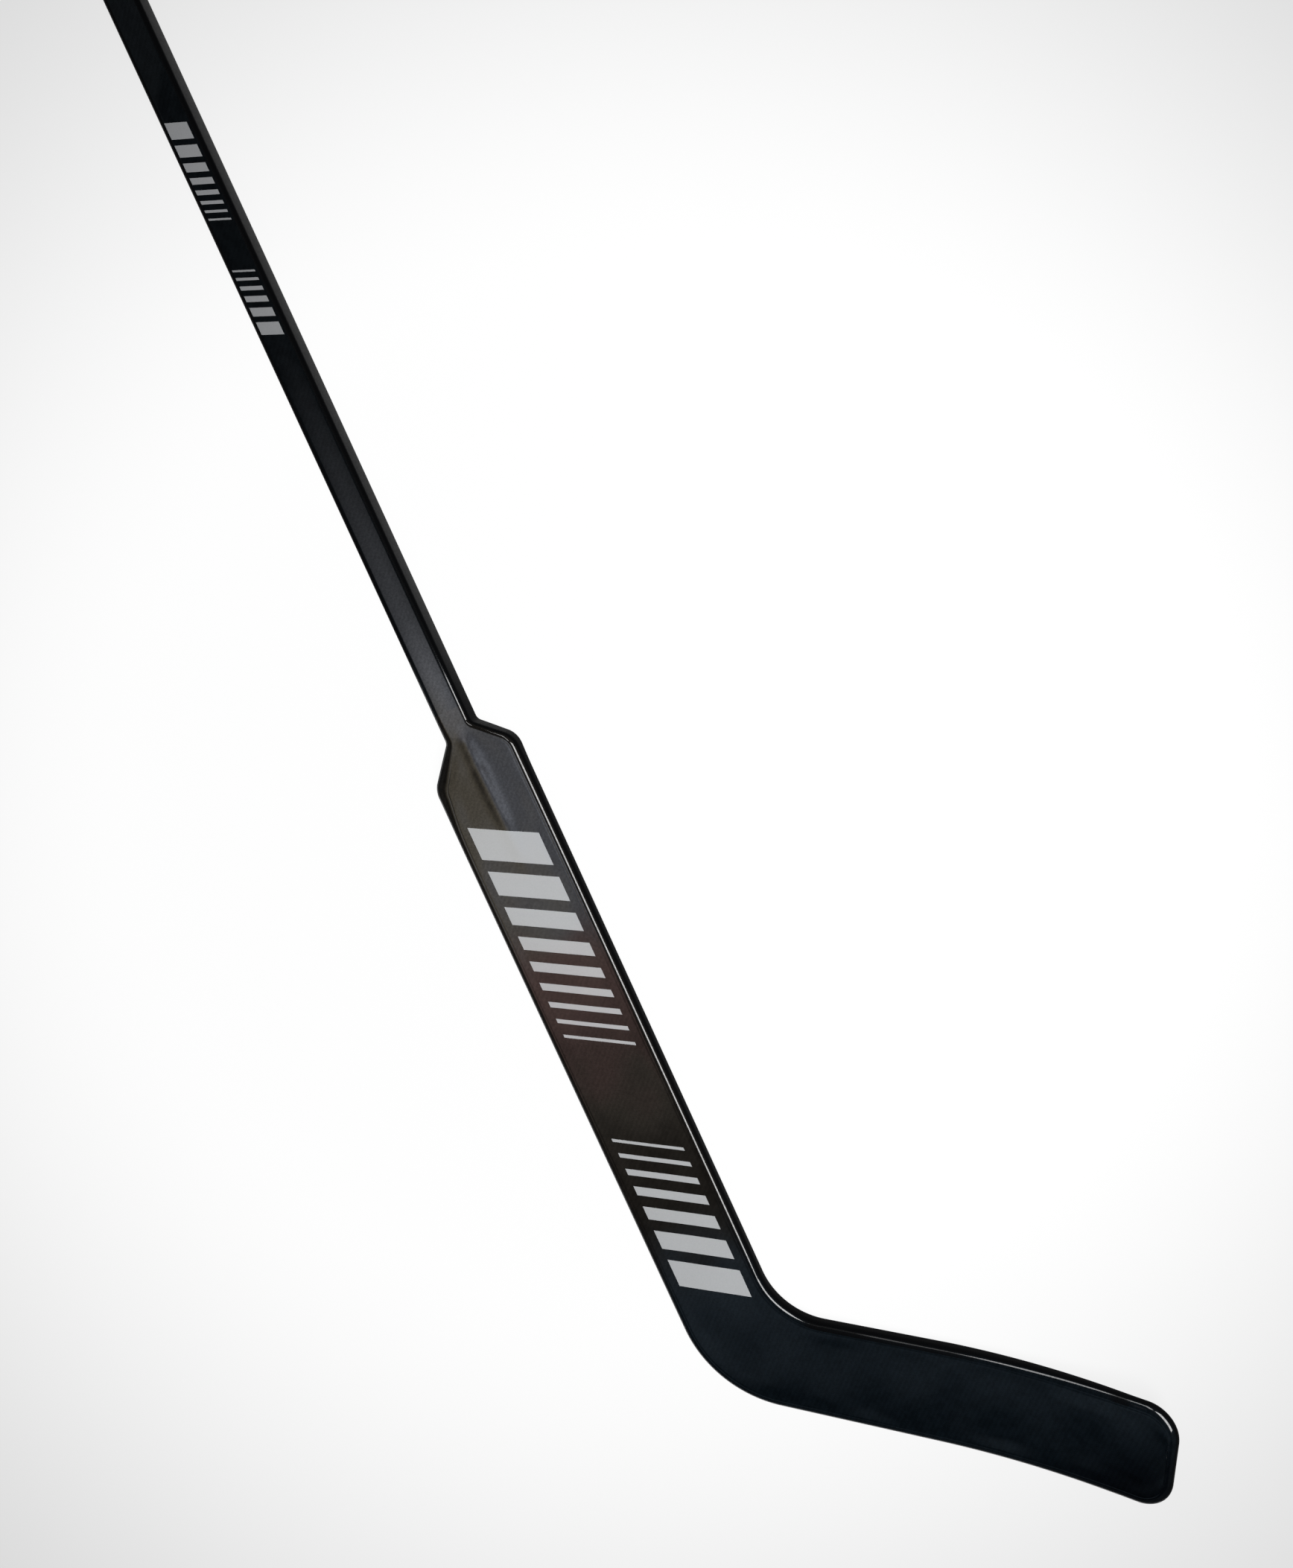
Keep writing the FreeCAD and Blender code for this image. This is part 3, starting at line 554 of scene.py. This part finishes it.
def new_material(name):
    """Material, its nodes, and its shader."""
    material = bpy.data.materials.new(name)
    material.use_nodes = True
    return material, material.node_tree, material.node_tree.nodes["Principled BSDF"]


def printed(tree, place, bars):
    """Mask of a set of bars, each given in millimetres: across, along, half width, half length, slant."""
    mask = 0.0
    for across, along, half_width, half_length, slant in bars:
        bar = use(tree, BAR, {"Place": place, "Across": across * MM, "Along": along * MM,
                              "Half Width": half_width * MM, "Half Length": half_length * MM, "Slant": slant})
        mask = maths(tree, "MAXIMUM", mask, bar["Mask"])
    return mask


# Lacquer, in metres, as a material's coordinates are
TOW = 0.0014                     # width of a tow of the twill
CROSS_TOW_SHADE = 0.85           # of the tows that run the other way
CROSS_TOW_COAT = 0.93
TWILL_ROUGHNESS = (0.42, 0.30)   # between the tows and on them
TWILL_RELIEF = 0.3               # share of the tows in the relief of the coat
PEEL_SCALE = 240.0               # waves of its orange peel to the metre
TINT_Y = (-0.62, -0.48)          # between which the lower colour turns into the upper one
# Painted shade at the toe: its colour darkens towards the tip
TOE_PAINTED_SHADE = (0.0011, 0.0016, 0.0024, 1)
TOE_PAINTED_SHADE_Y = (-0.835, -0.785)   # between which this painted shade turns into the lower colour
EDGE_PAINTED_SHADE = (0.0022, 0.0023, 0.0026, 1)     # painted shade, where there is no gloss
# Noise (waves to the metre, detail, roughness), two of its levels, and the values at these
MOTTLE = (120.0, 3.0, 0.6), (0.35, 0.65), (0.8, 1.15)        # shade of the laminate
INK = (900.0, 1.0, 0.5), (0.2, 0.8), (0.94, 1.0)             # shade of the print
SPECKLE = (560.0, 3.0, 0.65), (0.32, 0.68), (0.70, 1.0)      # weight of the coat


def lacquer(name, bars, print_colour, upper, lower):
    """Clear-coated black laminate with a faint twill and printed bars on the front.

    upper and lower are its colours above and below the middle of the paddle's lower half, and the tip of
    the toe is painted darker, as painted shade. The coat follows the piece's gloss, thinned by fine speckle
    and by the twill under it; where the gloss is low, the colour is painted black, as painted shade.
    """
    material, tree, shader = new_material(name)
    place = object_place(tree)
    height = put(tree, "ShaderNodeSeparateXYZ", {0: place}).outputs[1]
    gloss_and_shade = put(tree, "ShaderNodeAttribute", attribute_name="gloss_and_shade").outputs["Fac"]
    front = put(tree, "ShaderNodeAttribute", attribute_name="front").outputs["Fac"]

    twill = use(tree, WEAVE, {"Place": place, "Tow": TOW})
    tint = blend(tree, ramp(tree, height, *TINT_Y), lower, upper)
    # Painted shade: the toe darker towards its tip
    tint = blend(tree, ramp(tree, height, *TOE_PAINTED_SHADE_Y), TOE_PAINTED_SHADE, tint)
    shade = maths(tree, "MULTIPLY", uneven(tree, place, *MOTTLE),
                  ramp(tree, twill["Way"], 0.0, 1.0, 1.0, CROSS_TOW_SHADE))
    # Painted shade: black where the gloss is low
    plain = blend(tree, gloss_and_shade, EDGE_PAINTED_SHADE, times(tree, tint, shade))
    mask = maths(tree, "MULTIPLY", printed(tree, place, bars), maths(tree, "GREATER_THAN", front, 0.5))
    ink = times(tree, print_colour, uneven(tree, place, *INK))
    tree.links.new(blend(tree, mask, plain, ink), shader.inputs["Base Color"])

    tree.links.new(ramp(tree, twill["Height"], 0.0, 0.5, *TWILL_ROUGHNESS), shader.inputs["Roughness"])
    peel = maths(tree, "MULTIPLY_ADD", twill["Height"], TWILL_RELIEF, noise(tree, place, PEEL_SCALE))
    emboss(tree, shader, peel, strength=0.45, depth=0.0002)
    coat = maths(tree, "MULTIPLY", uneven(tree, place, *SPECKLE),
                 ramp(tree, twill["Way"], 0.0, 1.0, 1.0, CROSS_TOW_COAT))
    tree.links.new(maths(tree, "MULTIPLY", gloss_and_shade, coat), shader.inputs["Coat Weight"])
    shader.inputs["Coat Roughness"].default_value = 0.06
    shader.inputs["Coat IOR"].default_value = 1.5
    shader.inputs["Specular IOR Level"].default_value = 0.012
    return material


def moulded(name, colour, grain_scale):
    """Matte moulded plastic with a fine spark-eroded grain."""
    material, tree, shader = new_material(name)
    grain = noise(tree, object_place(tree), grain_scale)
    tree.links.new(blend(tree, grain, darker(colour, 0.8), colour), shader.inputs["Base Color"])
    tree.links.new(ramp(tree, grain, 0.3, 0.7, start=0.5, end=0.65), shader.inputs["Roughness"])
    emboss(tree, shader, grain, strength=0.25, depth=0.0002)
    return material


def cellular(name, colour, cell):
    """Cut face of foam or raw laminate: cells or fibres of one size."""
    material, tree, shader = new_material(name)
    cells = put(tree, "ShaderNodeTexVoronoi", {"Vector": object_place(tree), "Scale": 1 / cell}).outputs["Distance"]
    tree.links.new(blend(tree, cells, darker(colour, 0.7), colour), shader.inputs["Base Color"])
    shader.inputs["Roughness"].default_value = 0.85
    emboss(tree, shader, cells, strength=0.4, depth=0.0004)
    return material


def fade(start, way, thickest, thinnest, count, gap, half_width, slant):
    """Bars across the stick that thin out along it, each a fixed part of the one before."""
    thick = np.geomspace(thickest, thinnest, count)
    middles = start + way * (np.cumsum(thick) - thick / 2 + gap * np.arange(count))
    return [(0.0, middle, half_width, size / 2, slant) for middle, size in zip(middles, thick)]


PADDLE_BAR = {"gap": 11.0, "half_width": 29.5, "slant": 0.45}
SHAFT_BAR = {"gap": 5.0, "half_width": 9.5, "slant": 0.45}
PADDLE_BARS = (fade(start=-150.0, way=-1, thickest=30.0, thinnest=3.0, count=9, **PADDLE_BAR)
               + fade(start=-592.0, way=1, thickest=26.0, thinnest=3.0, count=7, **PADDLE_BAR))
SHAFT_BARS = (fade(start=478.0, way=-1, thickest=14.0, thinnest=1.6, count=8, **SHAFT_BAR)
              + fade(start=296.0, way=1, thickest=11.0, thinnest=1.6, count=6, **SHAFT_BAR))
PRINT_GREY = (0.40, 0.41, 0.415, 1)
DIM_GREY = (0.27, 0.275, 0.28, 1)
PADDLE_BROWN = (0.008, 0.007, 0.006, 1)
BLADE_BLUE = (0.0026, 0.0042, 0.0058, 1)
SHAFT_BLUE = (0.0035, 0.0045, 0.0054, 1)
PLUG_BLACK = (0.022, 0.022, 0.024, 1)
FOAM_CREAM = (0.78, 0.74, 0.64, 1)
RAW_BLACK = (0.03, 0.03, 0.03, 1)
paddle_lacquer = lacquer("paddle_lacquer", PADDLE_BARS, PRINT_GREY, upper=PADDLE_BROWN, lower=BLADE_BLUE)
shaft_lacquer = lacquer("shaft_lacquer", SHAFT_BARS, DIM_GREY, upper=SHAFT_BLUE, lower=SHAFT_BLUE)
plug_plastic = moulded("plug_plastic", PLUG_BLACK, grain_scale=2600.0)

# Pieces
paddle = make_piece("paddle_and_blade", material=paddle_lacquer, **paddle_shell())
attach(paddle, "root")
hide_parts("shaft_tongue", "front_skin", "back_skin", "outer_edge_wrap", "inner_edge_wrap",
            "toe_edge_wrap")
shaft = make_piece("shaft", material=shaft_lacquer, **shaft_tube())
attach(shaft, "root")
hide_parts("shaft_tube")
plug = make_piece("butt_plug", material=plug_plastic, **end_plug())
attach(plug, "root")
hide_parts("end_plug")

# Inside pieces, which stay as the CAD has them
foam = cellular("core_foam", FOAM_CREAM, cell=0.0012)
raw_laminate = cellular("web_laminate", RAW_BLACK, cell=0.0009)
for name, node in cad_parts.items():
    if name.endswith("_web") or "core" in name:
        node.data.materials.clear()
        node.data.materials.append(raw_laminate if name.endswith("_web") else foam)

# Camera, fitted to the photograph, in metres and degrees; its lens is in millimetres
CAMERA_PLACE = (0.6056, -0.0387, 1.2067)
CAMERA_TURN = (-13.976, 17.419, -25.336)
CAMERA_LENS, CAMERA_SENSOR = 36.39, 36.0

# Floor and light, in metres
FLOOR_REACH = (-6, 6)
FLOOR_Z = -0.0003
FLOOR_WHITE = (0.95, 0.95, 0.95, 1)
BEAM_WAY = (-0.3659, -0.0940, -0.9259)   # way of the wide beam whose painted pool of light is on the paper; it starts at the camera
BEAM_ANGLES = (0.31, 0.73)       # from its middle, between which the paper falls from white
PAPER_GREY = 0.60                # to this
PAPER_GLOW = 0.95                # share of it that is seen whatever the light; the rest keeps the shadow
SKY_GREY = 0.575                 # what the paper comes to, far off
SKY_LIGHT = (0.05, 0.055, 0.06, 1)
CARD_X, CARD_Y, CARD_Z = (-1.7, 0.25), (-1.9, 1.1), 1.3

# Glows of the card: x and y of the middle, reach to the left, right, down and up, and strength
GLOWS = (
    (-0.65, -0.30, 0.60, 0.45, 0.76, 1.00, 1.80),    # for paddle and shaft
    (-0.65, -0.02, 0.28, 0.45, 0.15, 0.18, 1.2),     # for the neck
    (-0.27, -0.25, 0.27, 0.25, 0.45, 0.35, 2.7),     # for the crest
    (-0.64, -1.18, 0.40, 0.35, 0.30, 0.24, 0.30),    # for the heel
    (-0.30, -1.37, 0.40, 0.50, 0.20, 0.30, 0.17),    # for the blade
)
WARM, COOL = (1.0, 0.88, 0.66, 1), (0.83, 0.89, 1.03, 1)
WARM_TO_COOL_X = (-0.92, -0.44)
# Tints along the card: the values of y between which each takes over from those before
TINTS = (
    (-0.14, 0.06, (0.93, 0.95, 1.04, 1)),
    (-0.42, -0.56, (1.0, 0.62, 0.57, 1)),
    (-0.70, -0.84, (1.0, 0.88, 0.72, 1)),
    (-1.02, -1.15, (0.70, 0.90, 1.1, 1)),
)


def flat_sheet(name, x, y, z, facing_up):
    """Level rectangle between two values of x and of y."""
    mesh = bpy.data.meshes.new(name)
    corners = [(x[0], y[0], z), (x[1], y[0], z), (x[1], y[1], z), (x[0], y[1], z)]
    mesh.from_pydata(corners, [], [(0, 1, 2, 3) if facing_up else (3, 2, 1, 0)])
    sheet = bpy.data.objects.new(name, mesh)
    bpy.context.scene.collection.objects.link(sheet)
    return sheet


def paper_floor():
    """Pale paper, painted with a pool of light: whitest on a wide beam from the camera, greyer off it."""
    sheet = flat_sheet("floor", FLOOR_REACH, FLOOR_REACH, FLOOR_Z, facing_up=True)
    material, tree, shader = new_material("floor_paper")
    shader.inputs["Base Color"].default_value = FLOOR_WHITE
    shader.inputs["Roughness"].default_value = 0.9
    shader.inputs["Specular IOR Level"].default_value = 0.0
    from_beam = vector_maths(tree, "SUBTRACT", object_place(tree), CAMERA_PLACE)["Vector"]
    depth = vector_maths(tree, "DOT_PRODUCT", from_beam, BEAM_WAY)["Value"]
    aside = vector_maths(tree, "CROSS_PRODUCT", from_beam, BEAM_WAY)["Vector"]
    angle = maths(tree, "ARCTAN2", vector_maths(tree, "LENGTH", aside)["Value"], depth)
    # Painted pool of light: the paper's glow falls from white with the angle off the beam
    whiteness = ramp(tree, angle, *BEAM_ANGLES, 1.0, PAPER_GREY)
    rays = tree.nodes.new("ShaderNodeLightPath").outputs
    mirrored = maths(tree, "MAXIMUM", rays["Is Glossy Ray"], rays["Is Transmission Ray"])
    seen = maths(tree, "MAXIMUM", rays["Is Camera Ray"], mirrored)
    white = put(tree, "ShaderNodeEmission", {"Color": (1, 1, 1, 1), "Strength": whiteness})
    paper = put(tree, "ShaderNodeMixShader", {0: maths(tree, "MULTIPLY", seen, PAPER_GLOW),
                                              1: shader.outputs[0], 2: white.outputs[0]})
    tree.links.new(paper.outputs[0], tree.nodes["Material Output"].inputs[0])
    sheet.data.materials.append(material)
    return sheet


def soft_box(name, place, size, power):
    """Rectangular lamp that shines straight down."""
    lamp = bpy.data.lights.new(name, "AREA")
    lamp.shape = "RECTANGLE"
    lamp.size, lamp.size_y = size
    lamp.energy = power
    box = bpy.data.objects.new(name, lamp)
    box.location = place
    box.visible_camera = False
    bpy.context.scene.collection.objects.link(box)
    return box


def glow_card():
    """Dim card overhead on the left, which the faces mirror: glows on it add up, each tinted by its place."""
    card = flat_sheet("left_card", CARD_X, CARD_Y, CARD_Z, facing_up=False)
    card.visible_camera = False
    material = bpy.data.materials.new("left_card")
    material.use_nodes = True
    tree = material.node_tree
    tree.nodes.clear()
    place = put(tree, "ShaderNodeSeparateXYZ", {0: object_place(tree)}).outputs

    def stretched(value, middle, before, after):
        """Distance from a middle, as a share of its reach on that side."""
        off = maths(tree, "SUBTRACT", value, middle)
        return maths(tree, "MAXIMUM", maths(tree, "DIVIDE", off, after), maths(tree, "DIVIDE", off, -before))

    def blob(x, y, left, right, down, up, strength):
        """Light that fades out from a middle, over its own reach each way."""
        off_x, off_y = stretched(place[0], x, left, right), stretched(place[1], y, down, up)
        away = maths(tree, "SQRT", maths(tree, "ADD", maths(tree, "MULTIPLY", off_x, off_x),
                                         maths(tree, "MULTIPLY", off_y, off_y)))
        return ramp(tree, away, 1.0, 0.0, 0.0, strength)

    strength = blob(*GLOWS[0])
    for values in GLOWS[1:]:
        strength = maths(tree, "ADD", strength, blob(*values))
    colour = blend(tree, ramp(tree, place[0], *WARM_TO_COOL_X), WARM, COOL)
    for start, end, tint in TINTS:
        colour = blend(tree, ramp(tree, place[1], start, end), colour, tint)
    glow = put(tree, "ShaderNodeEmission", {"Color": colour, "Strength": strength})
    tree.links.new(glow.outputs[0], put(tree, "ShaderNodeOutputMaterial").inputs[0])
    card.data.materials.append(material)
    return card


floor = paper_floor()
soft_box("strip_box", place=(0.94, -0.70, 1.80), size=(0.70, 1.45), power=48)
soft_box("blade_box", place=(0.225, 0.66, 1.80), size=(0.75, 1.08), power=20)
glow_card()

world = bpy.data.worlds.new("studio")
world.use_nodes = True
sky = world.node_tree
in_view = sky.nodes.new("ShaderNodeLightPath").outputs["Is Camera Ray"]
sky_colour = blend(sky, in_view, SKY_LIGHT, (SKY_GREY, SKY_GREY, SKY_GREY, 1))
sky.links.new(sky_colour, sky.nodes["Background"].inputs["Color"])
bpy.context.scene.world = world
bpy.context.scene.view_settings.view_transform = "Standard"

camera = bpy.data.objects.new("camera", bpy.data.cameras.new("camera"))
camera.location = CAMERA_PLACE
camera.rotation_euler = [math.radians(angle) for angle in CAMERA_TURN]
camera.data.sensor_width = CAMERA_SENSOR
camera.data.lens = CAMERA_LENS
bpy.context.scene.collection.objects.link(camera)
bpy.context.scene.camera = camera
